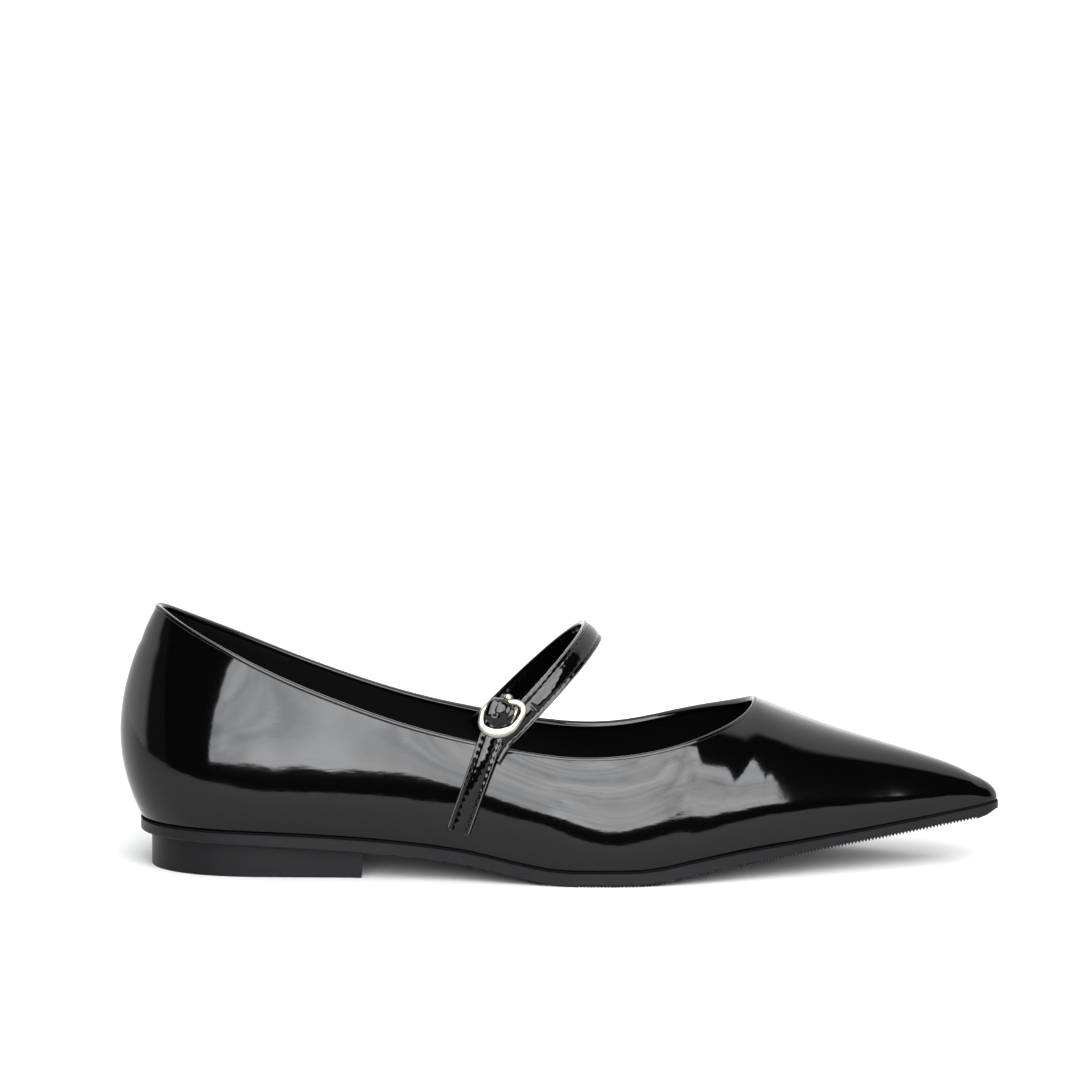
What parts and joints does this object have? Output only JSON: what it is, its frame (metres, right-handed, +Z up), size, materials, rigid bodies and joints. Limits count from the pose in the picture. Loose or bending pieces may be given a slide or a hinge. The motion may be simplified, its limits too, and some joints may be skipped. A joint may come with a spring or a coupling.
{
  "type": "pointed toe flat shoe",
  "caption": "Flat shoe with a pointed toe, a low heel block, a hollow patent upper and a narrow buckled instep strap.",
  "frame": {"origin": "centre of the heel block's ground face, on the floor", "axes": "+X from the heel to the toe, +Y to the inner (medial) side, +Z up"},
  "size_m": [0.2563, 0.0775, 0.0761],
  "materials": {
    "sole_rubber": "matt moulded rubber",
    "heel_rubber": "satin moulded rubber",
    "patent_leather": "high gloss patent",
    "lining": "matt lining",
    "buckle_metal": "pale champagne plated"
  },
  "bodies": {
    "root": {"outsole": "sole_rubber", "heel_block": "heel_rubber", "upper": "patent_leather", "insole": "lining", "strap": "patent_leather", "buckle_tab": "patent_leather", "buckle_frame": "buckle_metal", "buckle_prong": "buckle_metal"}
  },
  "joints": []
}
